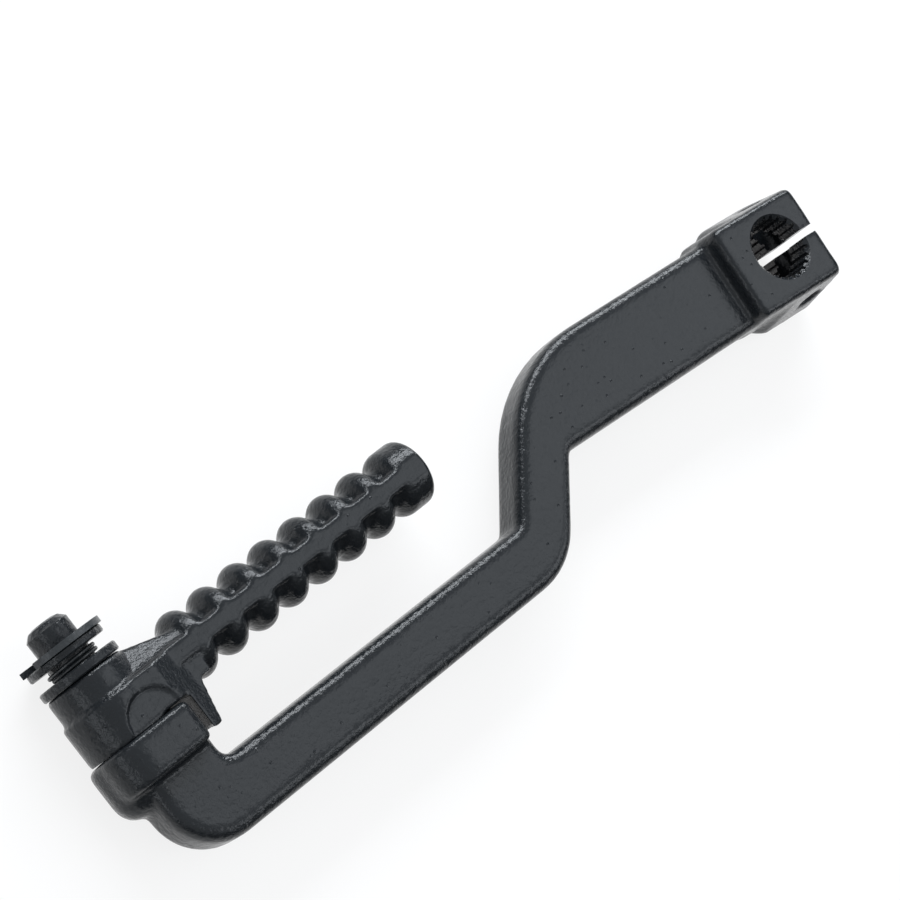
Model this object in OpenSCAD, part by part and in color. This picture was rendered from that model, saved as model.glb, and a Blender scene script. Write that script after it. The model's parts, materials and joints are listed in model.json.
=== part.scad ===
// Folding kick start lever: a forged crank arm with a split, splined clamp head,
// and a folding pedal with a ribbed peg that turns on a stud at the arm's far end.
// The bore axis is Z at the origin, the lower arm runs along +X, and the folded
// peg lies beside it on the -Y side.

/* [Clamp head] */
// Number of splines in the clamp bore
spline_count = 24; // [16:1:32]
// Radius at the spline crests, where the shaft is gripped
spline_crest_r = 7.6; // [7.2:0.1:7.9]
// Radius at the bottom of the spline grooves
spline_root_r = 8.3; // [8.1:0.1:8.8]
// Depth of the head along the bore
head_depth = 20.5; // [18:0.5:24]
// Width of the head at its front face
head_w = 24.4; // [22:0.2:27]
// Width of the head at its back
head_back_w = 30; // [27:0.2:32]
// Bore axis to the split end of the head, at the front face
head_end = 13; // [11.6:0.1:15]
// Bore axis to the arm side of the head, at the front face
head_back = 15.3; // [13:0.1:18]
// Draft angle of the head's front block
head_draft = 3; // [1:0.5:6]
// Bore axis to the shoulders where the head narrows to the arm
head_shoulder = 3; // [2:0.5:8]
// Turn of the head from the line of the lower arm
head_turn = 4.6; // [0:0.2:8]
// Sideways shift of the head from the bore axis
head_shift = 0.6; // [0:0.1:1]
// Sideways shift of the upper arm from the bore axis
upper_shift = 0.9; // [0:0.1:1.4]
// Width of the clamp slit
slit_w = 2; // [1:0.1:3]
// Diameter of the pinch bolt hole
pinch_d = 6.6; // [5.5:0.1:7]
// Bore axis to the pinch bolt axis
pinch_offset = 7.5; // [7:0.1:8]

/* [Crank arm] */
// Thickness of the arm
arm_t = 12; // [10:0.5:14]
// Height of the arm's back above the head's back
arm_lift = 3.5; // [2:0.5:5]
// Rounding of the arm's long edges
arm_edge_r = 2.5; // [1:0.1:3.5]
// Width of the upper arm, beside the head
upper_w = 24; // [20:0.5:26]
// Angle between the upper arm and the lower arm
upper_tilt = 3.6; // [0:0.2:7]
// Width of the cranked link between the two arms
link_w = 14; // [11:0.5:17]
// Angle of the cranked link
link_angle = 48.7; // [40:0.5:60]
// Bore axis to where the link's centre line meets the bore's height
link_x = 83; // [75:0.5:95]
// Width of the lower arm
lower_w = 14.75; // [12:0.25:18]
// Offset of the lower arm's centre line from the bore
lower_offset = 21.3; // [17:0.1:26]
// Outer corner radius between the upper arm and the link
upper_bend_r = 38; // [20:1:45]
// Outer corner radius between the link and the lower arm
lower_bend_r = 20; // [12:1:26]
// Outer corner radius at the pivot end
end_bend_r = 13; // [8:0.5:15]

/* [Pivot] */
// Bore axis to stud axis, along the lower arm
pivot_x = 206.7; // [190:0.1:230]
// Lean of the stud, which splays the folded peg away from the arm
pivot_lean = 1; // [0:0.2:2]
// Width of the pivot boss across the stud
boss_w = 22; // [21:0.2:25]
// Height of the boss's square lug across the stud
boss_h = 20; // [19:0.2:24]
// Thickness of the boss's square lug along the stud
lug_t = 9.6; // [8:0.2:11]
// Thickness of the boss's round disc along the stud
boss_t = 14.4; // [12:0.2:16]
// Height of the boss's bearing face over the bore axis
boss_face = 0.45; // [0:0.05:1]
// Diameter of the stud
stud_d = 10; // [8:0.1:10.2]
// Depth of the stud's seat in the boss
stud_seat = 12; // [9:0.5:16]
// Depth of the groove for the circlip
groove_depth = 0.8; // [0.4:0.1:1.2]
// Length of the stud's tip beyond the circlip
stud_tip = 5.5; // [3:0.5:9]
// Radial running clearance of the hub on the stud
hub_clearance = 0.05; // [0.02:0.01:0.09]
// Gap between the hub and the boss
hub_gap = 0.3; // [0.25:0.05:0.5]

/* [Retaining stack] */
// Diameter of the thrust washer on the hub
thrust_d = 18.8; // [16:0.2:21]
// Thickness of the thrust washer
thrust_t = 2.1; // [1:0.1:3]
// Wire diameter of the detent spring
wire_d = 0.9; // [0.8:0.1:1.3]
// Height of the detent spring as fitted
spring_h = 2.7; // [2.5:0.1:4.5]
// Diameter of the retaining washer
keeper_d = 18.2; // [16:0.2:21]
// Thickness of the retaining washer
keeper_t = 1.8; // [1:0.1:2.5]
// Diameter over the ears of the circlip
clip_d = 19.6; // [15:0.2:20]
// Thickness of the circlip
clip_t = 1.4; // [0.8:0.1:2]

/* [Folding pedal] */
// Radius of the hub's barrel
barrel_r = 10; // [9.6:0.1:11]
// Height of the barrel
barrel_h = 9.6; // [8:0.2:12]
// Radius of the collar above the barrel
collar_r = 9.1; // [8.4:0.1:9.5]
// Height of the collar
collar_h = 6.2; // [4:0.2:9]
// Height of the peg's axis over the hub's bottom face
peg_height = 7.9; // [7:0.1:10]
// Stud axis to the middle of the first rib
first_rib = 22.6; // [21.5:0.1:26]
// Number of ribs on the peg
rib_count = 7; // [4:1:9]
// Distance from rib to rib
rib_pitch = 9.07; // [8.6:0.1:10.5]
// Radius over the ribs
rib_r = 8; // [7.6:0.1:9]
// Roundness radius of each rib's crown
rib_crown = 3.2; // [2.8:0.1:3.6]
// Length of the smooth cap at the peg's end
cap_len = 9; // [6:0.2:12]
// Distance from the peg's axis to its flat front and back
flat_height = 7.6; // [7.2:0.1:7.8]
// Width of the web that joins the ribs
web_w = 4.2; // [1.6:0.2:4.8]
// Distance from the stud axis to the hub's flat front and back
hub_flat = 9.4; // [8.6:0.1:9.8]
// Reach of the stop skirt below the hub's bottom face
skirt_reach = 8.8; // [5:0.2:11]
// Thickness of the stop skirt where it leaves the hub
skirt_t = 2.8; // [2.4:0.2:6]
// Clearance of the stop skirt round the boss
skirt_gap = 0.8; // [0.5:0.1:1.5]

/* [Hidden] */
$fn = 64;
paint = "#1b1d1f";
bare_steel = "#2a2c2e";

// Heights, along Z
arm_back = arm_lift;
arm_front = arm_lift + arm_t;
pivot_z = arm_lift + arm_t / 2;

// Levels along the stud, measured from the bore axis towards -Y
hub_face = boss_face + hub_gap;
barrel_top = hub_face + barrel_h;
collar_top = barrel_top + collar_h;
seat_gap = 0.05;
thrust_base = collar_top + seat_gap;
spring_base = thrust_base + thrust_t;
keeper_base = spring_base + spring_h;
clip_base = keeper_base + keeper_t;
tip_end = clip_base + clip_t + stud_tip;

// Ease of the loose rings on the stud
ring_ease = 0.15;

function unit(v) = v / norm(v);
function turn(a) = [cos(a), sin(a)];
function cross2(a, b) = a[0] * b[1] - a[1] * b[0];
// Point where the line through p along u meets the line through q along v
function meet(p, u, q, v) = p + u * cross2(q - p, v) / cross2(u, v);

// Corner of an outline, rounded: the arc that touches both sides at radius r
function corner(before, at, after, r, steps) =
    let (u = unit(before - at), v = unit(after - at), half = acos(u * v) / 2,
         centre = at + unit(u + v) * r / sin(half),
         start = at + u * r / tan(half) - centre,
         stop = at + v * r / tan(half) - centre,
         a = atan2(start[1], start[0]),
         sweep = atan2(cross2(start, stop), start * stop))
    [for (i = [0:steps]) centre + r * turn(a + sweep * i / steps)];

// Outline from corner points, each given as [x, y, radius, steps]
function outline(list) =
    let (n = len(list), xy = [for (c = list) [c[0], c[1]]])
    [for (i = [0:n - 1])
        each corner(xy[(i + n - 1) % n], xy[i], xy[(i + 1) % n], list[i][2], list[i][3])];

// The same corners moved inwards by d; the outline runs anticlockwise
least_r = 0.1;
function inset(list, d) =
    let (n = len(list), xy = [for (c = list) [c[0], c[1]]])
    [for (i = [0:n - 1])
        let (u = unit(xy[i] - xy[(i + n - 1) % n]), v = unit(xy[(i + 1) % n] - xy[i]),
             at = xy[i] + d * ([-u[1], u[0]] + [-v[1], v[0]]) / (1 + u * v),
             r = list[i][2] - sign(cross2(u, v)) * d)
        concat(at, [max(r, least_r), list[i][3]])];

// Levels [height, inset] of a slab with rounded edges, its sides leaning in towards the top
function slab_levels(low, high, low_r, high_r, lean = 0, steps = 4) =
    let (leaned = function(z) (z - low) * tan(lean))
    concat(
        [for (i = [0:steps])
            let (a = 90 * i / steps, z = low + low_r * (1 - cos(a)))
            [z, low_r * (1 - sin(a)) + leaned(z)]],
        [for (i = [0:steps])
            let (a = 90 * i / steps, z = high - high_r * (1 - sin(a)))
            [z, high_r * (1 - cos(a)) + leaned(z)]]);

// Forged slab: rounded corners lofted through levels of [height, inset]. Its two ends are
// strips of four-sided faces from one half of the outline across to the other half.
module slab(list, levels) {
    n = len(outline(list));
    m = len(levels);
    last = (m - 1) * n;
    points = [for (l = levels) each [for (p = outline(inset(list, l[1]))) [p[0], p[1], l[0]]]];
    sides = [for (j = [0:m - 2]) each [for (i = [0:n - 1])
        [j * n + i, (j + 1) * n + i, (j + 1) * n + (i + 1) % n, j * n + (i + 1) % n]]];
    low_end = [for (i = [0:n / 2 - 2]) [i, i + 1, n - 2 - i, n - 1 - i]];
    high_end = [for (q = low_end) [last + q[3], last + q[2], last + q[1], last + q[0]]];
    polyhedron(points, concat(low_end, sides, high_end));
}

// Moves a shape to the stud axis at the bore's height, turned with the stud's lean
module on_pivot() {
    translate([pivot_x, 0, pivot_z]) rotate(pivot_lean) children();
}

// Puts a shape drawn along Z onto the stud's axis, rising towards -Y
module on_stud(level = 0) {
    on_pivot() translate([0, -level, 0]) rotate([90, 0, 0]) children();
}

// Ring on the stud with lightly broken edges
module ring(outer_r, inner_r, height, edge) {
    rotate_extrude()
        polygon([[inner_r, 0], [outer_r - edge, 0], [outer_r, edge],
                 [outer_r, height - edge], [outer_r - edge, height], [inner_r, height]]);
}

// Outline of the crank arm seen along the bore
upper_dir = turn(-upper_tilt);
upper_side = turn(90 - upper_tilt);
link_dir = turn(link_angle);
link_side = turn(link_angle - 90);
lower_dir = [1, 0];
lower_near = [0, lower_offset - lower_w / 2];
lower_far = [0, lower_offset + lower_w / 2];
link_mid = [link_x, 0];
link_out = link_mid + link_side * link_w / 2;
link_in = link_mid - link_side * link_w / 2;
upper_near = [0, upper_shift] - upper_side * upper_w / 2;
upper_far = [0, upper_shift] + upper_side * upper_w / 2;
end_margin = 1;
end_recess = 5;
end_left = pivot_x - boss_w / 2 - end_margin;
end_right = pivot_x + boss_w / 2 - end_recess;
end_foot = 1;
inner_r = 2.5;
outer_r = 2;

arm_corners = [
    concat(upper_near, [outer_r, 2]),
    concat(meet(upper_near, upper_dir, link_out, link_dir), [upper_bend_r, 9]),
    concat(meet(lower_near, lower_dir, link_out, link_dir), [inner_r, 7]),
    [end_left, lower_near[1], inner_r, 8],
    [end_left, end_foot, outer_r, 2],
    [end_right, end_foot, outer_r, 2],
    [end_right, lower_far[1], end_bend_r, 8],
    concat(meet(lower_far, lower_dir, link_in, link_dir), [lower_bend_r, 7]),
    concat(meet(upper_far, upper_dir, link_in, link_dir), [inner_r, 9]),
    concat(upper_far, [outer_r, 2])
];

// Outline of the head's front block at its base inside the arm, widened by its draft
block_sink = 1.2;
block_base = arm_back + block_sink;
block_grow = (head_depth - block_base) * tan(head_draft);
block_half = head_w / 2 + block_grow;
block_end = -head_end - block_grow;
head_corner_r = 2.5;
block_corners = [
    [block_end, -block_half, head_corner_r, 4],
    [head_back + block_grow, -block_half, head_corner_r, 4],
    [head_back + block_grow, block_half, head_corner_r, 4],
    [block_end, block_half, head_corner_r, 4]
];

// Outline of the head's body at its back, which leans in to meet the front block
body_drop = 1;
body_inset = 3;
waist_margin = 2;
body_top = head_depth - body_drop;
body_back = head_back - body_inset;
body_half = head_back_w / 2;
body_grow = body_half - head_w / 2;
body_lean = atan(body_grow / body_top);
body_end = -head_end - body_grow;
body_corner_r = 3;
body_corners = [
    [body_end, -body_half, body_corner_r, 4],
    [head_shoulder, -body_half, body_corner_r, 4],
    [body_back, -upper_w / 2 + waist_margin, 1, 2],
    [body_back, upper_w / 2 - waist_margin, 1, 2],
    [head_shoulder, body_half, body_corner_r, 4],
    [body_end, body_half, body_corner_r, 4]
];

// Splined bore: a round bore at the crests with tapered grooves cut outwards
module spline_section() {
    groove_share = 0.52;
    groove_half = groove_share * PI * spline_crest_r / spline_count;
    groove_start = spline_crest_r - 0.3;
    circle(spline_crest_r);
    for (i = [0:spline_count - 1])
        rotate(360 / spline_count * (i + 0.5))
            polygon([[groove_start, -groove_half], [spline_root_r, -groove_half / 2],
                     [spline_root_r, groove_half / 2], [groove_start, groove_half]]);
}

module clamp_cuts() {
    margin = 2;
    reach = body_half + margin;
    translate([0, 0, -margin]) linear_extrude(head_depth + 2 * margin) spline_section();
    translate([body_end - margin, -slit_w / 2, -margin])
        cube([-body_end + margin, slit_w, head_depth + 2 * margin]);
    translate([-pinch_offset, reach, head_depth / 2])
        rotate([90, 0, 0]) cylinder(d = pinch_d, h = 2 * reach);
}

// Boss round the stud: a broad round-ended back half with a square lug forged on its front
lug_inset = 0.6;
lug_foot = -2;
lug_curve = 7;
lug_corner = 2.2;
lug_side = boss_w / 2 - lug_inset;
lug_corners = [
    [-boss_w / 2, lug_foot, 1.5, 2],
    [lug_side, lug_foot, 1.5, 2],
    [lug_side, boss_h / 2, lug_curve, 6],
    [-boss_w / 2, boss_h / 2, lug_corner, 2]
];
boss_step = 0.25;
boss_crease = 4.5;
boss_curve = 9.2;
boss_back_r = 6;
boss_back_corners = [
    [-boss_w / 2 + boss_step, -boss_w / 2, boss_back_r, 4],
    [boss_w / 2, -boss_w / 2, boss_curve, 4],
    [boss_w / 2, boss_crease, boss_back_r, 4],
    [-boss_w / 2 + boss_step, boss_crease, boss_back_r, 4]
];
boss_end_r = 5;
boss_front_r = 1.6;

module boss() {
    on_stud(boss_face - boss_t)
        slab(boss_back_corners, slab_levels(0, boss_t - boss_step, boss_end_r, boss_front_r));
    on_stud(boss_face - lug_t) slab(lug_corners, slab_levels(0, lug_t, 1.2, 1));
}

module kick_arm() {
    color(paint) difference() {
        union() {
            slab(arm_corners, slab_levels(arm_back, arm_front, arm_edge_r, arm_edge_r));
            rotate(-head_turn) translate([0, head_shift]) {
                slab(block_corners, slab_levels(block_base, head_depth, 1, 1.2, head_draft));
                slab(body_corners, slab_levels(0, body_top, 1.5, 0.6, body_lean));
            }
            boss();
        }
        rotate(-head_turn) clamp_cuts();
        on_stud(-stud_seat) cylinder(d = stud_d, h = stud_seat + boss_face + 1);
    }
}

// Turned stud, pressed into the boss, with a groove for the circlip and a domed tip
module pivot_stud() {
    r = stud_d / 2;
    dome = 1.6;
    color(paint) on_stud() rotate_extrude()
        polygon([[0, -stud_seat], [r, -stud_seat], [r, clip_base], [r - groove_depth, clip_base],
                 [r - groove_depth, clip_base + clip_t], [r, clip_base + clip_t],
                 [r, tip_end - dome], [r - dome * 0.8, tip_end - dome * 0.2],
                 [r - dome * 1.6, tip_end], [0, tip_end]]);
}

// Peg: round-crowned ribs on a core, made as a turned profile along X
module peg_profile() {
    root_r = rib_r - rib_crown;
    half = rib_pitch / 2;
    valley_h = root_r + 2.4;
    valley_r = norm([half, valley_h - root_r]) - rib_crown;
    shoulder = root_r + (valley_h - root_r) * rib_crown / (rib_crown + valley_r);
    last = (rib_count - 1) * rib_pitch;
    cap_start = last + rib_pitch - rib_crown;
    cap_end = cap_start + cap_len;
    cap_round = 1.6;
    stub = 0.6 * rib_pitch;
    difference() {
        union() {
            translate([-stub, 0]) square([cap_end - cap_round + stub, shoulder]);
            for (i = [0:rib_count]) translate([i * rib_pitch, root_r]) circle(rib_crown);
            translate([cap_start + rib_crown, 0]) square([cap_len - rib_crown - cap_round, rib_r]);
            translate([cap_start + rib_crown, 0]) square([cap_len - rib_crown, rib_r - cap_round]);
            translate([cap_end - cap_round, rib_r - cap_round]) circle(cap_round);
        }
        for (i = [0:rib_count]) translate([(i - 0.5) * rib_pitch, valley_h]) circle(valley_r);
        translate([-rib_pitch * 2, -2 * rib_r]) square([cap_end + rib_pitch * 3, 2 * rib_r]);
    }
}

peg_level = hub_face + peg_height;
peg_end = first_rib + rib_count * rib_pitch - rib_crown + cap_len;

module peg() {
    on_pivot() translate([-first_rib, -peg_level, 0]) rotate([0, -90, 0])
        intersection() {
            union() {
                rotate_extrude() rotate(90) mirror([0, 1]) peg_profile();
                translate([-rib_r, -web_w / 2, -rib_pitch])
                    cube([2 * rib_r, web_w, rib_count * rib_pitch + rib_pitch]);
            }
            translate([-flat_height, -2 * rib_r, -2 * rib_pitch])
                cube([2 * flat_height, 4 * rib_r, peg_end + 2 * rib_pitch]);
        }
}

// Neck between the hub and the first rib, with the stop skirt that hangs from it beside the
// boss: flat front and back with a bevel off the hub's flats, and a roof over it all
neck_len = 20.6;
neck_half = 7;
neck_start = -2;
bevel_start = 9.4;
bevel_end = 16.2;
roof_half = 2.6;
eave_rise = -0.15;
ledge_rise = 0.3;
eave_level = barrel_top + eave_rise;
roof_level = peg_level + 4;
roof_rise = 5.2;
roof_drop = 0.3;
roof_top = roof_level + roof_rise;
neck_root = hub_face + 1;

// The pedal's stock starts a little low and is faced off round the boss's swing
facing = 0.1;
stock_base = hub_face - facing;
boss_reach = norm([boss_w / 2 - lug_corner, boss_h / 2 - lug_corner]) + lug_corner;
swing_r = boss_reach + skirt_gap;
skirt_in = -swing_r + 3;
skirt_tip = skirt_reach - hub_face;
skirt_tip_r = 0.9;
tip_in = [skirt_in, skirt_tip];
tip_t = 0.5;
tip_out = [-swing_r - tip_t, skirt_tip];
skirt_root = [-swing_r - skirt_t, -neck_root];

neck_plan = [[-neck_len, -neck_half], [-bevel_end, -neck_half], [-bevel_start, -hub_flat],
             [neck_start, -hub_flat], [neck_start, hub_flat], [-bevel_start, hub_flat],
             [-bevel_end, neck_half], [-neck_len, neck_half]];
eave = -eave_level;
ledge = eave - ledge_rise;
neck_house = [[-hub_flat - 1, skirt_reach], [-hub_flat - 1, eave], [-neck_half, ledge],
              [-roof_half, -roof_top], [roof_half, -roof_top], [neck_half, ledge],
              [hub_flat + 1, eave], [hub_flat + 1, skirt_reach]];
neck_side = concat(
    [[neck_start, -stock_base], [neck_start, -roof_top], [-neck_len, -roof_level],
     [-neck_len, -neck_root], skirt_root],
    corner(skirt_root, tip_out, tip_in, skirt_tip_r, 3),
    corner(tip_out, tip_in, [skirt_in, -stock_base], skirt_tip_r, 3),
    [[skirt_in, -stock_base]]);

module neck() {
    on_pivot() intersection() {
        translate([0, skirt_reach, 0]) rotate([90, 0, 0])
            linear_extrude(skirt_reach + collar_top - roof_drop) polygon(neck_plan);
        rotate([0, -90, 0]) linear_extrude(neck_len + 1) polygon(neck_house);
        translate([0, 0, -hub_flat - 1]) linear_extrude(2 * hub_flat + 2) polygon(neck_side);
    }
}

module fold_pedal() {
    relief_r = 6.6;
    relief_x = -3.4;
    relief_depth = 0.5;
    hub_edge = 0.6;
    hub_top = collar_top - stock_base;
    step = barrel_top - stock_base;
    color(paint) difference() {
        union() {
            on_stud(stock_base) rotate_extrude() polygon([
                [0, 0], [barrel_r, 0], [barrel_r, step - hub_edge], [barrel_r - hub_edge, step],
                [collar_r, step], [collar_r, hub_top - hub_edge],
                [collar_r - hub_edge, hub_top], [0, hub_top]]);
            neck();
            peg();
        }
        on_stud(-skirt_reach - 1) cylinder(r = swing_r, h = skirt_reach + 1 + hub_face);
        on_stud(-1) cylinder(d = stud_d + 2 * hub_clearance, h = collar_top + 2);
        on_pivot() translate([relief_x, -hub_face, hub_flat - relief_depth])
            cylinder(r = relief_r, h = 3);
    }
}

module thrust_washer() {
    color(bare_steel) on_stud(thrust_base) ring(thrust_d / 2, stud_d / 2 + ring_ease, thrust_t, 0.3);
}

// Detent spring: round wire wound on the stud, as many turns as fit side by side
module detent_spring() {
    coil_r = stud_d / 2 + ring_ease + wire_d / 2;
    rise = spring_h - wire_d;
    turns = rise / (wire_d * 1.08);
    rings = ceil(turns * 24);
    sides = 10;
    points = [for (k = [0:rings]) each [for (s = [0:sides - 1])
        let (a = 360 * turns * k / rings, b = 360 * s / sides - 90,
             r = coil_r + wire_d / 2 * cos(b))
        [r * cos(a), r * sin(a), wire_d / 2 * (1 + sin(b)) + rise * k / rings]]];
    walls = [for (k = [0:rings - 1]) each [for (s = [0:sides - 1])
        [k * sides + s, (k + 1) * sides + s, (k + 1) * sides + (s + 1) % sides,
         k * sides + (s + 1) % sides]]];
    start = [for (s = [0:sides - 1]) s];
    stop = [for (s = [0:sides - 1]) rings * sides + sides - 1 - s];
    color(bare_steel) on_stud(spring_base) polyhedron(points, concat([start], walls, [stop]));
}

module retaining_washer() {
    color(bare_steel) on_stud(keeper_base) ring(keeper_d / 2, stud_d / 2 + ring_ease, keeper_t, 0.3);
}

// Circlip: an open E-shaped plate whose three prongs sit in the stud's groove
module circlip() {
    seat_r = stud_d / 2 - groove_depth;
    inner = seat_r + 1.8;
    color(bare_steel) on_stud(clip_base) linear_extrude(clip_t) {
        difference() {
            circle(clip_d / 2);
            circle(inner);
            translate([0, -seat_r]) square([clip_d, 2 * seat_r]);
        }
        for (a = [90, 180, 270])
            rotate(a) translate([seat_r, -1.1]) square([inner - seat_r + 0.5, 2.2]);
    }
}

kick_arm();
pivot_stud();
fold_pedal();
thrust_washer();
detent_spring();
retaining_washer();
circlip();
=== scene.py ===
"""Folding kick start lever: looks, studio and camera, laid out as an add-on.

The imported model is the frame. The two forgings are remodelled as soft-edged castings over their
solids and keep their bores and slit crisp. The turned and stamped pieces keep their own solids
and get their finishes here.
"""

import json
import math

import bmesh
import bpy
from mathutils import Matrix, Vector

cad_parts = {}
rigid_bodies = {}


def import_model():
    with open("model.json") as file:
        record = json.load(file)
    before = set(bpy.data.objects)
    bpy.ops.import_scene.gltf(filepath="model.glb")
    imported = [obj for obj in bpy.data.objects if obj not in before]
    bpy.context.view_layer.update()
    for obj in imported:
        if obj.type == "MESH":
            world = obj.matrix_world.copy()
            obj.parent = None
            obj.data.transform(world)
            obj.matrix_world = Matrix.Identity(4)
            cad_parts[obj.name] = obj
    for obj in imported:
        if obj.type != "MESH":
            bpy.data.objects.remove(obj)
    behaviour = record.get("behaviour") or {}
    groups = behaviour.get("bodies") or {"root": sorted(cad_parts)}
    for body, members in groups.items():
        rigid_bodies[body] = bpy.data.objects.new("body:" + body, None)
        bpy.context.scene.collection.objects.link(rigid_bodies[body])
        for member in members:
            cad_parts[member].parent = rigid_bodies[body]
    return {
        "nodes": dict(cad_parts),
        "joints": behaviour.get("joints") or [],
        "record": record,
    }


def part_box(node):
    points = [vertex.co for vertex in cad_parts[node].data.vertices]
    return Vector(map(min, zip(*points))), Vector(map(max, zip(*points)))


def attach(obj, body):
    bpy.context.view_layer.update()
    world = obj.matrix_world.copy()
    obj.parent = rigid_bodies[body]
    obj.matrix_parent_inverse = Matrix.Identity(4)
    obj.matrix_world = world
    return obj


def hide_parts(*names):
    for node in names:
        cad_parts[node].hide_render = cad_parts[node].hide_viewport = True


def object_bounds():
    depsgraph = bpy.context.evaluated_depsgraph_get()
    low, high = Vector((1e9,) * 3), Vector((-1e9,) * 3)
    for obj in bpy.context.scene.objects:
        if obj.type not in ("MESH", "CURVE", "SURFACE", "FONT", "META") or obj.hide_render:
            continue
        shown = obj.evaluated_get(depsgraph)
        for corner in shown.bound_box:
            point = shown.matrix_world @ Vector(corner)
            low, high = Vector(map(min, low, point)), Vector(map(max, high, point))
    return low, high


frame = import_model()
CAD_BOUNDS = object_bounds()

bl_info = {
    "name": "Folding Kick Start Lever",
    "version": (1, 0, 0),
    "blender": (4, 5, 0),
    "location": "View3D > Sidebar > Kick Lever",
    "description": "Finishes a folding kick start lever and sets it in a small studio",
    "category": "Object",
}

MM = 0.001
JOINT = frame["joints"][0]
PIVOT = Vector(JOINT["pos_m"])
ARM_BODY = JOINT["parent"]
PEDAL_BODY = JOINT["child"]

# The camera looks down on the lever's outer face: tilted off the bore's axis towards the stud,
# rolled in the picture, and at this distance from the bore
CAMERA_TILT = math.radians(33.0)
CAMERA_ROLL = math.radians(36.9)
CAMERA_DISTANCE = 655 * MM
# The picture's side, the place of the bore's centre in it and the focal length, in pixels
PICTURE_SIZE = 900
PICTURE_BORE = (780.4, 246.6)
FOCAL_PIXELS = 2729
SENSOR_MM = 36.0

# Reach of the white card from the lever's centre, in metres, and its gap under the lever
CARD_REACH = 6.0
CARD_GAP = 0.2 * MM

# Angle between two faces over which an edge of a forging stays sharp
SHARP_ANGLE = math.radians(40)
# Half width of a spline groove at the crests and at its floor, as shares of the pitch
GROOVE_MOUTH = 0.27
GROOVE_FLOOR = 0.14
# Sides of the bevel at the bore's mouth: four to a spline
BEVEL_SIDES = 96
# How far a plug runs into the metal round a bore, and how far a cutter runs past a face
OVERLAP = 0.4 * MM
MARGIN = 2 * MM

# Index of refraction of the enamel, a little under that of a new film
ENAMEL_IOR = 1.38
# Span of a noise pattern's values that the film's roughness follows
GRAIN_LOW = 0.35
GRAIN_HIGH = 0.7
# How upright a face is where the film starts to level itself, and where it lies fully level
LEVEL_START = 0.95
LEVEL_END = 0.995


def linear(hex_colour):
    """sRGB hex to the linear colour that a shader's socket takes."""
    channels = [int(hex_colour[i:i + 2], 16) / 255 for i in (1, 3, 5)]
    return tuple(c / 12.92 if c <= 0.04045 else ((c + 0.055) / 1.055) ** 2.4
                 for c in channels) + (1.0,)


def node(tree, kind, links=None, **settings):
    """Adds a node with its settings, and links its inputs by name."""
    made = tree.nodes.new(kind)
    for key, value in settings.items():
        if key in made.inputs:
            made.inputs[key].default_value = value
        else:
            setattr(made, key, value)
    for key, socket in (links or {}).items():
        tree.links.new(socket, made.inputs[key])
    return made


def new_material(name):
    """An empty material and its node tree."""
    material = bpy.data.materials.new(name)
    material.use_nodes = True
    material.node_tree.nodes.clear()
    return material, material.node_tree


def scale_for(millimetres):
    """Noise scale for a pattern of this size, in a mesh measured in metres."""
    return 1000.0 / millimetres


def add_enamel(tree, look, grain, bumps, rougher):
    """The enamel's shader and output: the film is rougher where the grain stands up."""
    film = node(tree, "ShaderNodeMapRange", {"Value": grain.outputs["Fac"]},
                **{"From Min": GRAIN_LOW, "From Max": GRAIN_HIGH, "To Min": look.roughness,
                   "To Max": look.roughness + rougher})
    shader = node(tree, "ShaderNodeBsdfPrincipled",
                  {"Roughness": film.outputs["Result"], "Normal": bumps.outputs["Normal"]},
                  **{"Base Color": linear(look.enamel), "IOR": ENAMEL_IOR})
    node(tree, "ShaderNodeOutputMaterial", {"Surface": shader.outputs["BSDF"]})


# Gloss black enamel sprayed over a shot-blasted forging: the film is wet and deep, and it
# follows the forging's slow waves and fine grain, which break up the edges of each highlight.
# The grain shows less on the wide faces, where the film levels itself before it dries
def enamel_on_forging(name, look):
    material, tree = new_material(name)
    coords = node(tree, "ShaderNodeTexCoord")
    place = coords.outputs["Object"]
    facing = node(tree, "ShaderNodeSeparateXYZ", {"Vector": coords.outputs["Normal"]})
    upright = node(tree, "ShaderNodeMath", {0: facing.outputs["Z"]}, operation="ABSOLUTE")
    levelled = node(tree, "ShaderNodeMapRange", {"Value": upright.outputs[0]},
                    **{"From Min": LEVEL_START, "From Max": LEVEL_END, "To Min": 1.0,
                       "To Max": look.levelling})
    waves = node(tree, "ShaderNodeTexNoise", {"Vector": place},
                 Scale=scale_for(look.wave_mm), Detail=2.0, Roughness=0.45)
    grain = node(tree, "ShaderNodeTexNoise", {"Vector": place},
                 Scale=scale_for(look.grain_mm), Detail=3.0, Roughness=0.6)
    specks = node(tree, "ShaderNodeTexVoronoi", {"Vector": place},
                  Scale=scale_for(look.speck_mm), Randomness=1.0)
    pip = node(tree, "ShaderNodeMapRange", {"Value": specks.outputs["Distance"]},
               **{"From Min": 0.0, "From Max": 0.12, "To Min": 1.0, "To Max": 0.0})
    slow = node(tree, "ShaderNodeBump", {"Height": waves.outputs["Fac"]},
                Strength=1.0, Distance=look.wave_depth)
    fine = node(tree, "ShaderNodeBump",
                {"Height": grain.outputs["Fac"], "Normal": slow.outputs["Normal"],
                 "Strength": levelled.outputs["Result"]}, Distance=look.grain_depth)
    bumps = node(tree, "ShaderNodeBump",
                 {"Height": pip.outputs["Result"], "Normal": fine.outputs["Normal"]},
                 Strength=0.6, Distance=look.grain_depth)
    add_enamel(tree, look, grain, bumps, rougher=0.08)
    return material


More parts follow.
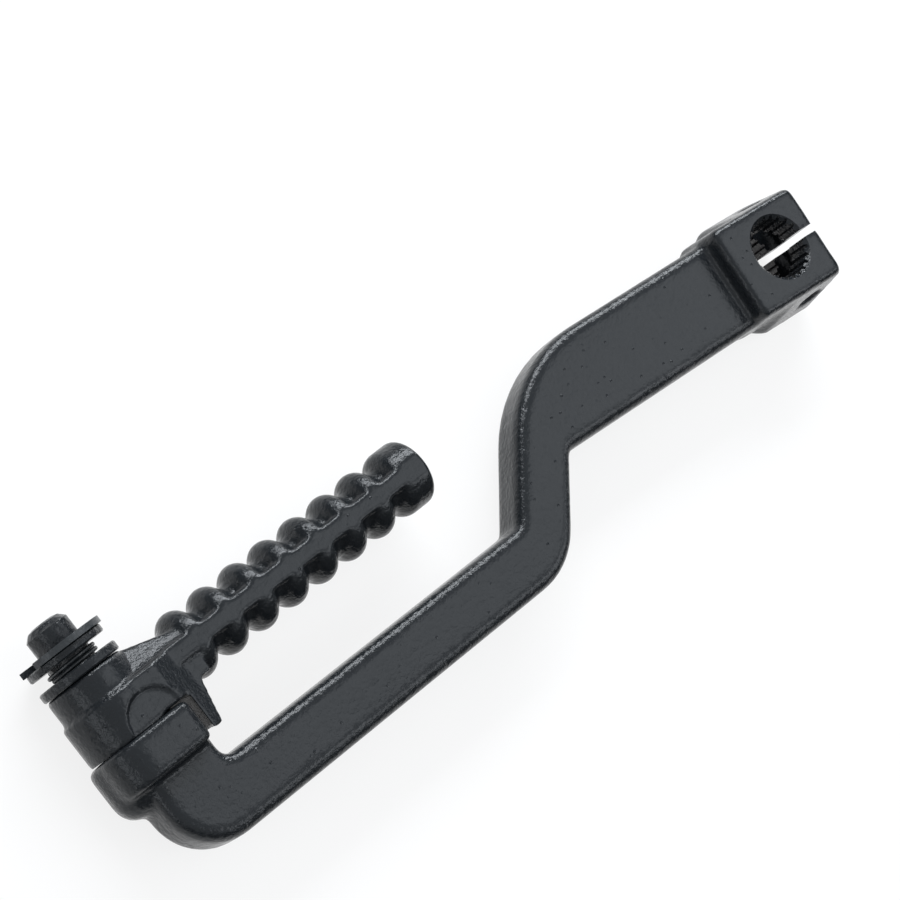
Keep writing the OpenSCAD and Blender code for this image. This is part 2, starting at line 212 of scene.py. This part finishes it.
# The same enamel over a turned piece: brushed on thick, so it has runs and drips of its own
def enamel_on_turning(name, look):
    material, tree = new_material(name)
    place = node(tree, "ShaderNodeTexCoord").outputs["Object"]
    runs = node(tree, "ShaderNodeTexNoise", {"Vector": place},
                Scale=scale_for(look.run_mm), Detail=2.0, Roughness=0.5)
    grain = node(tree, "ShaderNodeTexNoise", {"Vector": place},
                 Scale=scale_for(look.grain_mm), Detail=3.0, Roughness=0.6)
    slow = node(tree, "ShaderNodeBump", {"Height": runs.outputs["Fac"]},
                Strength=1.0, Distance=look.run_depth)
    bumps = node(tree, "ShaderNodeBump",
                 {"Height": grain.outputs["Fac"], "Normal": slow.outputs["Normal"]},
                 Strength=1.0, Distance=look.grain_depth)
    add_enamel(tree, look, grain, bumps, rougher=0.1)
    return material


# Black-oxided spring steel under a thin coat: darker and duller than the enamel
def oxided_steel(name, look):
    material, tree = new_material(name)
    place = node(tree, "ShaderNodeTexCoord").outputs["Object"]
    grain = node(tree, "ShaderNodeTexNoise", {"Vector": place},
                 Scale=scale_for(look.grain_mm), Detail=4.0, Roughness=0.65)
    tone = node(tree, "ShaderNodeValToRGB", {"Fac": grain.outputs["Fac"]})
    tone.color_ramp.elements[0].color = linear(look.oxide)
    tone.color_ramp.elements[1].color = linear(look.oxide_light)
    bumps = node(tree, "ShaderNodeBump", {"Height": grain.outputs["Fac"]},
                 Strength=1.0, Distance=look.grain_depth)
    shader = node(tree, "ShaderNodeBsdfPrincipled",
                  {"Base Color": tone.outputs["Color"], "Normal": bumps.outputs["Normal"]},
                  **{"Roughness": 0.34, "IOR": 1.5, "Coat Weight": 0.2, "Coat Roughness": 0.15})
    node(tree, "ShaderNodeOutputMaterial", {"Surface": shader.outputs["BSDF"]})
    return material


class KickLeverLook(bpy.types.PropertyGroup):
    enamel: bpy.props.StringProperty(
        name="Enamel", description="Colour of the gloss enamel, as sRGB hex", default="#1c1f22")
    oxide: bpy.props.StringProperty(
        name="Oxide", description="Dark tone of the oxided steel, as sRGB hex", default="#1a1e22")
    oxide_light: bpy.props.StringProperty(
        name="Light oxide", description="Light tone of the oxided steel, as sRGB hex",
        default="#2b3033")
    roughness: bpy.props.FloatProperty(
        name="Film roughness", description="Roughness of the enamel film", default=0.14,
        min=0.0, max=1.0, subtype="FACTOR")
    wave_mm: bpy.props.FloatProperty(
        name="Wave size", description="Size of the forging's slow waves, in millimetres",
        default=7.0, min=1.0)
    wave_depth: bpy.props.FloatProperty(
        name="Wave depth", description="Depth of the forging's slow waves",
        default=0.00016, min=0.0, unit="LENGTH")
    grain_mm: bpy.props.FloatProperty(
        name="Grain size", description="Size of the blasted grain, in millimetres",
        default=1.1, min=0.1)
    grain_depth: bpy.props.FloatProperty(
        name="Grain depth", description="Depth of the blasted grain",
        default=0.00024, min=0.0, unit="LENGTH")
    levelling: bpy.props.FloatProperty(
        name="Levelling", description="Share of the grain that still shows on wide faces",
        default=0.4, min=0.0, max=1.0, subtype="FACTOR")
    run_mm: bpy.props.FloatProperty(
        name="Run size", description="Size of the paint runs on turned pieces, in millimetres",
        default=3.5, min=0.5)
    run_depth: bpy.props.FloatProperty(
        name="Run depth", description="Depth of the paint runs on turned pieces",
        default=0.0007, min=0.0, unit="LENGTH")
    speck_mm: bpy.props.FloatProperty(
        name="Speck spacing", description="Distance between paint specks, in millimetres",
        default=3.2, min=0.5)


class KickLeverShape(bpy.types.PropertyGroup):
    arm_step: bpy.props.FloatProperty(
        name="Arm skin step", description="Grid step of the arm's skin",
        default=0.0006, min=0.0003, unit="LENGTH")
    pedal_step: bpy.props.FloatProperty(
        name="Pedal skin step", description="Grid step of the pedal's skin",
        default=0.00042, min=0.0003, unit="LENGTH")
    arm_soften: bpy.props.IntProperty(
        name="Arm softening", description="Smoothing passes over the arm's skin", default=12,
        min=0, max=30)
    pedal_soften: bpy.props.IntProperty(
        name="Pedal softening", description="Smoothing passes over the pedal's skin", default=6,
        min=0, max=30)
    spline_count: bpy.props.IntProperty(
        name="Splines", description="Number of splines in the clamp bore", default=24, min=8)
    spline_root: bpy.props.FloatProperty(
        name="Spline root radius", description="Radius at the bottom of the spline grooves",
        default=0.0083, min=0.0, unit="LENGTH")
    slit: bpy.props.FloatProperty(
        name="Slit width", description="Width of the clamp slit", default=0.002, min=0.0,
        unit="LENGTH")
    bore_mouth: bpy.props.FloatProperty(
        name="Bore mouth", description="How much wider the bore's mouth is than its splines",
        default=0.0003, min=0.0, unit="LENGTH")
    bore_bevel: bpy.props.FloatProperty(
        name="Bore bevel", description="Depth of the bevel that the splines start under",
        default=0.0009, min=0.0, unit="LENGTH")
    seat_level: bpy.props.FloatProperty(
        name="Seat level", description="Level of the hub's seat over the boss, along the stud",
        default=0.00051, unit="LENGTH")
    seat_radius: bpy.props.FloatProperty(
        name="Seat radius", description="Radius of the hub's seat", default=0.0096,
        unit="LENGTH")
    seat_flat: bpy.props.FloatProperty(
        name="Seat flat", description="Distance from the stud's axis to the seat's flat front",
        default=0.0086, unit="LENGTH")
    hub_clearance: bpy.props.FloatProperty(
        name="Hub clearance", description="Radial clearance of the hub on the stud",
        default=0.00005, min=0.0, unit="LENGTH")


class KickLeverStage(bpy.types.PropertyGroup):
    floor: bpy.props.StringProperty(
        name="Floor", description="Colour of the floor, as sRGB hex", default="#ffffff")
    floor_white: bpy.props.FloatProperty(
        name="Floor white", description="Share of the floor that shows as plain white",
        default=0.82, min=0.0, max=1.0, subtype="FACTOR")
    lamp_colour: bpy.props.StringProperty(
        name="Lamp colour", description="Colour of the softboxes, as sRGB hex", default="#f1f6fb")
    flat_light: bpy.props.FloatProperty(
        name="Back softbox", description="Brightness of the softbox that the flats mirror",
        default=1.5, min=0.0)
    side_light: bpy.props.FloatProperty(
        name="Side strip", description="Brightness of the long strip on the peg's side",
        default=12.0, min=0.0)
    edge_light: bpy.props.FloatProperty(
        name="Edge strip", description="Brightness of the strip over the arm's outer side",
        default=3.0, min=0.0)
    end_light: bpy.props.FloatProperty(
        name="End softbox", description="Brightness of the low softbox beyond the stud",
        default=2.2, min=0.0)
    top_light: bpy.props.FloatProperty(
        name="Top softbox", description="Brightness of the wide, dim softbox overhead",
        default=0.55, min=0.0)
    room: bpy.props.FloatProperty(
        name="Room light", description="Brightness of the grey room", default=0.12,
        min=0.0, max=2.0)


def prism(shape, ring, low, high, turn, spread=1.0):
    """Adds a prism to a bmesh: a ring of (x, y) drawn along Z, then placed by turn.

    spread is how many times wider its top is than its foot.
    """
    low_ring = [shape.verts.new(turn @ Vector((x, y, low))) for x, y in ring]
    high_ring = [shape.verts.new(turn @ Vector((x * spread, y * spread, high))) for x, y in ring]
    shape.faces.new(list(reversed(low_ring)))
    shape.faces.new(high_ring)
    for i in range(len(ring)):
        j = (i + 1) % len(ring)
        shape.faces.new((low_ring[i], low_ring[j], high_ring[j], high_ring[i]))


def round_ring(radius, sides=64):
    """Points of a circle."""
    return [(radius * math.cos(math.tau * i / sides), radius * math.sin(math.tau * i / sides))
            for i in range(sides)]


def spline_ring(crest, root, count):
    """Points of a splined bore: straight crests with tapered grooves cut outwards."""
    ring = []
    for i in range(count):
        for share, radius in ((-GROOVE_MOUTH, crest), (-GROOVE_FLOOR, root),
                              (GROOVE_FLOOR, root), (GROOVE_MOUTH, crest)):
            angle = math.tau * (i + 0.5 + share) / count
            ring.append((radius * math.cos(angle), radius * math.sin(angle)))
    return ring


def along(axis, place):
    """Matrix that turns Z onto an axis and moves it to a place."""
    return Matrix.Translation(place) @ Vector(axis).to_track_quat("Z", "X").to_matrix().to_4x4()


def mesh_object(name, shape):
    """Object from a bmesh, linked to the scene."""
    mesh = bpy.data.meshes.new(name)
    bmesh.ops.recalc_face_normals(shape, faces=shape.faces)
    shape.to_mesh(mesh)
    shape.free()
    made = bpy.data.objects.new(name, mesh)
    bpy.context.scene.collection.objects.link(made)
    return made


def applied(piece):
    """Applies a piece's modifiers to its mesh."""
    seen = piece.evaluated_get(bpy.context.evaluated_depsgraph_get())
    mesh = bpy.data.meshes.new_from_object(seen)
    piece.modifiers.clear()
    piece.data = mesh


def forged_skin(name, source, plugs, cuts, step, soften):
    """One closed skin over a forging, softened as cast metal is, with its bores cut crisp again.

    plugs is a bmesh that fills the bores before the skin is made. cuts are closed bmeshes that
    open them again, one after the other.
    """
    shape = bmesh.new()
    shape.from_mesh(frame["nodes"][source].data)
    spare = bpy.data.meshes.new("spare")
    plugs.to_mesh(spare)
    plugs.free()
    shape.from_mesh(spare)
    bpy.data.meshes.remove(spare)
    piece = mesh_object(name, shape)
    skin = piece.modifiers.new("skin", "REMESH")
    skin.mode = "VOXEL"
    skin.voxel_size = step
    ease = piece.modifiers.new("ease", "SMOOTH")
    ease.factor = 0.5
    ease.iterations = soften
    applied(piece)
    for opening in cuts:
        cutter = mesh_object(name + "_cut", opening)
        cut = piece.modifiers.new("cut", "BOOLEAN")
        cut.operation = "DIFFERENCE"
        cut.solver = "MANIFOLD"
        cut.object = cutter
        applied(piece)
        bpy.data.objects.remove(cutter)
    piece.data.shade_smooth()
    piece.data.set_sharp_from_angle(angle=SHARP_ANGLE)
    piece.data.materials.clear()
    return piece


def dress(name, material):
    """Gives a piece that keeps its own solid its finish."""
    piece = frame["nodes"][name]
    piece.data.materials.clear()
    piece.data.materials.append(material)


class KICK_OT_turned_pieces(bpy.types.Operator):
    """Finishes the stud, the washers, the spring and the circlip"""

    bl_idname = "kick.turned_pieces"
    bl_label = "Turned and Stamped Pieces"

    def execute(self, context):
        look = context.scene.kick_look
        turned = enamel_on_turning("gloss_enamel_on_turned_steel", look)
        oxide = oxided_steel("black_oxided_spring_steel", look)
        for name in ("pivot_stud", "thrust_washer", "retaining_washer"):
            dress(name, turned)
        for name in ("detent_spring", "circlip"):
            dress(name, oxide)
        return {"FINISHED"}


class KICK_OT_arm(bpy.types.Operator):
    """Finishes the forged crank arm with its splined clamp head"""

    bl_idname = "kick.arm"
    bl_label = "Crank Arm"

    def execute(self, context):
        look = context.scene.kick_look
        shape = context.scene.kick_shape
        mounts = {m["name"]: m for m in frame["record"]["mounts"]}
        bore = mounts["shaft_bore"]["dims"]
        pinch = mounts["pinch_bolt_hole"]
        depth = bore["length_mm"] * MM
        crest = bore["r_mm"] * MM
        pinch_r = pinch["dims"]["r_mm"] * MM
        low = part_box("kick_arm")[0]
        end = low[0] - MARGIN
        across = along(pinch["axis"], Vector(pinch["pos_m"]))
        side = Vector(pinch["axis"])
        turned = Matrix.Rotation(math.atan2(-side.x, side.y), 4, "Z")

        # The plugs fill the bores for the skin, and stop a little inside the head's faces
        plug_reach = 12.2 * MM
        plug_end = low[0] + 3.4 * MM
        plug_top = depth - 0.05 * MM
        slot_top = depth - 0.6 * MM
        slot_plug = [(plug_end, -shape.slit), (0, -shape.slit), (0, shape.slit),
                     (plug_end, shape.slit)]
        plugs = bmesh.new()
        prism(plugs, round_ring(shape.spline_root + OVERLAP), OVERLAP, plug_top, turned)
        prism(plugs, slot_plug, 2 * OVERLAP, slot_top, turned)
        prism(plugs, round_ring(pinch_r + OVERLAP), -plug_reach, plug_reach, across)

        # The splined bore, the slit, the pinch bolt's hole and the bevel at the bore's mouth
        slot = [(end, -shape.slit / 2), (0, -shape.slit / 2), (0, shape.slit / 2),
                (end, shape.slit / 2)]
        cuts = [bmesh.new() for i in range(4)]
        prism(cuts[0], spline_ring(crest, shape.spline_root, shape.spline_count), -MARGIN,
              depth + MARGIN, turned)
        prism(cuts[1], slot, -MARGIN, depth + MARGIN, turned)
        prism(cuts[2], round_ring(pinch_r), -2 * plug_reach, 2 * plug_reach, across)
        mouth = shape.spline_root + shape.bore_mouth
        prism(cuts[3], round_ring(crest, BEVEL_SIDES), depth - shape.bore_bevel,
              depth + shape.bore_bevel, turned, 1 + 2 * (mouth - crest) / crest)
        piece = forged_skin("crank_arm", "kick_arm", plugs, cuts, shape.arm_step,
                            shape.arm_soften)
        piece.data.materials.append(enamel_on_forging("gloss_enamel_on_forged_arm", look))
        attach(piece, ARM_BODY)
        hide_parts("kick_arm")
        return {"FINISHED"}


class KICK_OT_pedal(bpy.types.Operator):
    """Finishes the folding pedal with its ribbed peg"""

    bl_idname = "kick.pedal"
    bl_label = "Folding Pedal"

    def execute(self, context):
        look = context.scene.kick_look
        shape = context.scene.kick_shape
        seat = shape.seat_level
        low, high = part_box("pivot_stud")
        stud_r = (high[2] - low[2]) / 2
        hub_top = PIVOT.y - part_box("thrust_washer")[1][1]
        turned = along(-Vector(JOINT["axis"]), PIVOT)

        # One plug fills the hub's bore, and one carries its seat past the level of the cut
        plug_wall = 0.5 * MM
        plug_top = hub_top - 0.6 * MM
        seat_rise = 1.2 * MM
        seat_root = 1 * MM
        seat_ring = [(min(x, shape.seat_flat), y) for x, y in round_ring(shape.seat_radius)]
        plugs = bmesh.new()
        prism(plugs, round_ring(stud_r + plug_wall), seat, plug_top, turned)
        prism(plugs, seat_ring, seat - seat_rise, seat + seat_root, turned)

        # The seat is cut level, and then the bore is opened through the hub
        seat_cut_r = shape.seat_radius + 0.7 * MM
        seat_cut_low = seat - 3 * MM
        cuts = [bmesh.new(), bmesh.new()]
        prism(cuts[0], round_ring(seat_cut_r), seat_cut_low, seat, turned)
        prism(cuts[1], round_ring(stud_r + shape.hub_clearance), -MARGIN, hub_top + 2 * MARGIN,
              turned)
        piece = forged_skin("ribbed_pedal", "fold_pedal", plugs, cuts, shape.pedal_step,
                            shape.pedal_soften)
        piece.data.materials.append(enamel_on_forging("gloss_enamel_on_forged_pedal", look))
        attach(piece, PEDAL_BODY)
        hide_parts("fold_pedal")
        return {"FINISHED"}


def softbox(name, target, offset, length, width, brightness, colour):
    """A rectangular lamp that looks at a point from an offset, with its length along the lever.

    brightness is how bright its face shows, where 1 is white.
    """
    data = bpy.data.lights.new(name, "AREA")
    data.shape = "RECTANGLE"
    data.size = length
    data.size_y = width
    data.energy = brightness * math.pi * length * width
    data.color = linear(colour)[:3]
    lamp = bpy.data.objects.new(name, data)
    away = Vector(offset).normalized()
    lengthwise = (Vector((1, 0, 0)) - away * away.x).normalized()
    turn = Matrix((lengthwise, away.cross(lengthwise), away)).transposed().to_4x4()
    lamp.matrix_world = Matrix.Translation(Vector(target) + Vector(offset)) @ turn
    bpy.context.scene.collection.objects.link(lamp)


def camera_axes():
    """The camera's right, up and back directions in the lever's frame."""
    # The lever's own axes as they lie in the picture: to the right, up, and to the camera
    lever_z = Vector((math.sin(CAMERA_TILT) * math.cos(CAMERA_ROLL),
                      math.sin(CAMERA_TILT) * math.sin(CAMERA_ROLL), math.cos(CAMERA_TILT)))
    lever_x = Vector((-math.cos(CAMERA_TILT) * math.cos(CAMERA_ROLL),
                      -math.cos(CAMERA_TILT) * math.sin(CAMERA_ROLL), math.sin(CAMERA_TILT)))
    lever_y = lever_z.cross(lever_x)
    rows = Matrix((lever_x, lever_y, lever_z)).transposed()
    return rows[0], rows[1], rows[2]


def add_camera():
    """Sets the scene's camera, so that the front end of the bore lies at its place."""
    right, up, back = camera_axes()
    bore = Vector((0.0, 0.0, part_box("kick_arm")[1][2]))
    across = (PICTURE_BORE[0] - PICTURE_SIZE / 2) / FOCAL_PIXELS * CAMERA_DISTANCE
    rise = (PICTURE_SIZE / 2 - PICTURE_BORE[1]) / FOCAL_PIXELS * CAMERA_DISTANCE
    place = bore - right * across - up * rise + back * CAMERA_DISTANCE
    data = bpy.data.cameras.new("product_camera")
    data.sensor_width = SENSOR_MM
    data.lens = FOCAL_PIXELS / PICTURE_SIZE * SENSOR_MM
    camera = bpy.data.objects.new("product_camera", data)
    turn = Matrix((right, up, back)).transposed().to_4x4()
    camera.matrix_world = Matrix.Translation(place) @ turn
    bpy.context.scene.collection.objects.link(camera)
    bpy.context.scene.camera = camera


def seen_directly(tree):
    """1 for camera, glossy and transmission rays, so mirrors show the same white as the camera."""
    path = node(tree, "ShaderNodeLightPath")
    mirrored = node(tree, "ShaderNodeMath",
                    {0: path.outputs["Is Camera Ray"], 1: path.outputs["Is Glossy Ray"]},
                    operation="MAXIMUM")
    through = node(tree, "ShaderNodeMath",
                   {0: mirrored.outputs[0], 1: path.outputs["Is Transmission Ray"]},
                   operation="MAXIMUM")
    return through.outputs[0]


# Seamless white card: it shows as plain white and still takes the lever's soft shadow
def white_card(stage):
    material, tree = new_material("matt_white_card")
    paper = node(tree, "ShaderNodeBsdfDiffuse", Color=linear(stage.floor))
    glow = node(tree, "ShaderNodeEmission", Color=linear(stage.floor), Strength=1.0)
    share = node(tree, "ShaderNodeMath", {0: seen_directly(tree)}, operation="MULTIPLY")
    share.inputs[1].default_value = stage.floor_white
    mix = node(tree, "ShaderNodeMixShader",
               {"Fac": share.outputs[0], 1: paper.outputs["BSDF"], 2: glow.outputs["Emission"]})
    node(tree, "ShaderNodeOutputMaterial", {"Surface": mix.outputs["Shader"]})
    return material


class KICK_OT_stage(bpy.types.Operator):
    """Sets the lever on a white card under soft studio light, with the camera"""

    bl_idname = "kick.stage"
    bl_label = "Studio"

    def execute(self, context):
        stage = context.scene.kick_stage
        low, high = CAD_BOUNDS
        centre = (Vector(low) + Vector(high)) / 2
        mesh = bpy.data.meshes.new("card")
        shape = bmesh.new()
        bmesh.ops.create_grid(shape, x_segments=1, y_segments=1, size=CARD_REACH)
        shape.to_mesh(mesh)
        shape.free()
        card = bpy.data.objects.new("card", mesh)
        card.location = (centre.x, centre.y, low[2] - CARD_GAP)
        mesh.materials.append(white_card(stage))
        context.scene.collection.objects.link(card)

        # Each softbox: its place from the lever's centre, length, width and brightness
        for name, offset, length, width, bright in (
                ("back_softbox", (-0.65, 0.04, 1.0), 0.95, 0.36, stage.flat_light),
                ("side_strip", (-0.5, -0.78, 0.54), 1.3, 0.36, stage.side_light),
                ("edge_strip", (-0.65, 0.55, 0.84), 1.0, 0.24, stage.edge_light),
                ("end_softbox", (1.1, -0.1, 0.45), 0.4, 0.9, stage.end_light),
                ("top_softbox", (0.0, 0.0, 1.2), 3.0, 3.0, stage.top_light)):
            softbox(name, centre, offset, length, width, bright, stage.lamp_colour)
        world = bpy.data.worlds.new("grey_room")
        world.use_nodes = True
        tree = world.node_tree
        tree.nodes.clear()
        air = node(tree, "ShaderNodeBackground", Color=linear(stage.floor), Strength=stage.room)
        node(tree, "ShaderNodeOutputWorld", {"Surface": air.outputs["Background"]})
        context.scene.world = world
        context.scene.view_settings.view_transform = "Standard"
        add_camera()
        return {"FINISHED"}


STEPS = (KICK_OT_arm, KICK_OT_pedal, KICK_OT_turned_pieces, KICK_OT_stage)


class KICK_PT_panel(bpy.types.Panel):
    """Lists the lever's pieces and their settings"""

    bl_idname = "KICK_PT_panel"
    bl_label = "Kick Start Lever"
    bl_space_type = "VIEW_3D"
    bl_region_type = "UI"
    bl_category = "Kick Lever"

    def draw(self, context):
        layout = self.layout
        for group in (context.scene.kick_look, context.scene.kick_shape, context.scene.kick_stage):
            box = layout.box()
            for name in group.__annotations__:
                box.prop(group, name)
        for step in STEPS:
            layout.operator(step.bl_idname)


CLASSES = (KickLeverLook, KickLeverShape, KickLeverStage) + STEPS + (KICK_PT_panel,)


def register():
    for item in CLASSES:
        bpy.utils.register_class(item)
    bpy.types.Scene.kick_look = bpy.props.PointerProperty(type=KickLeverLook)
    bpy.types.Scene.kick_shape = bpy.props.PointerProperty(type=KickLeverShape)
    bpy.types.Scene.kick_stage = bpy.props.PointerProperty(type=KickLeverStage)


def unregister():
    del bpy.types.Scene.kick_stage
    del bpy.types.Scene.kick_shape
    del bpy.types.Scene.kick_look
    for item in reversed(CLASSES):
        bpy.utils.unregister_class(item)


def main():
    register()
    bpy.ops.kick.arm()
    bpy.ops.kick.pedal()
    bpy.ops.kick.turned_pieces()
    bpy.ops.kick.stage()


if __name__ == "__main__":
    main()
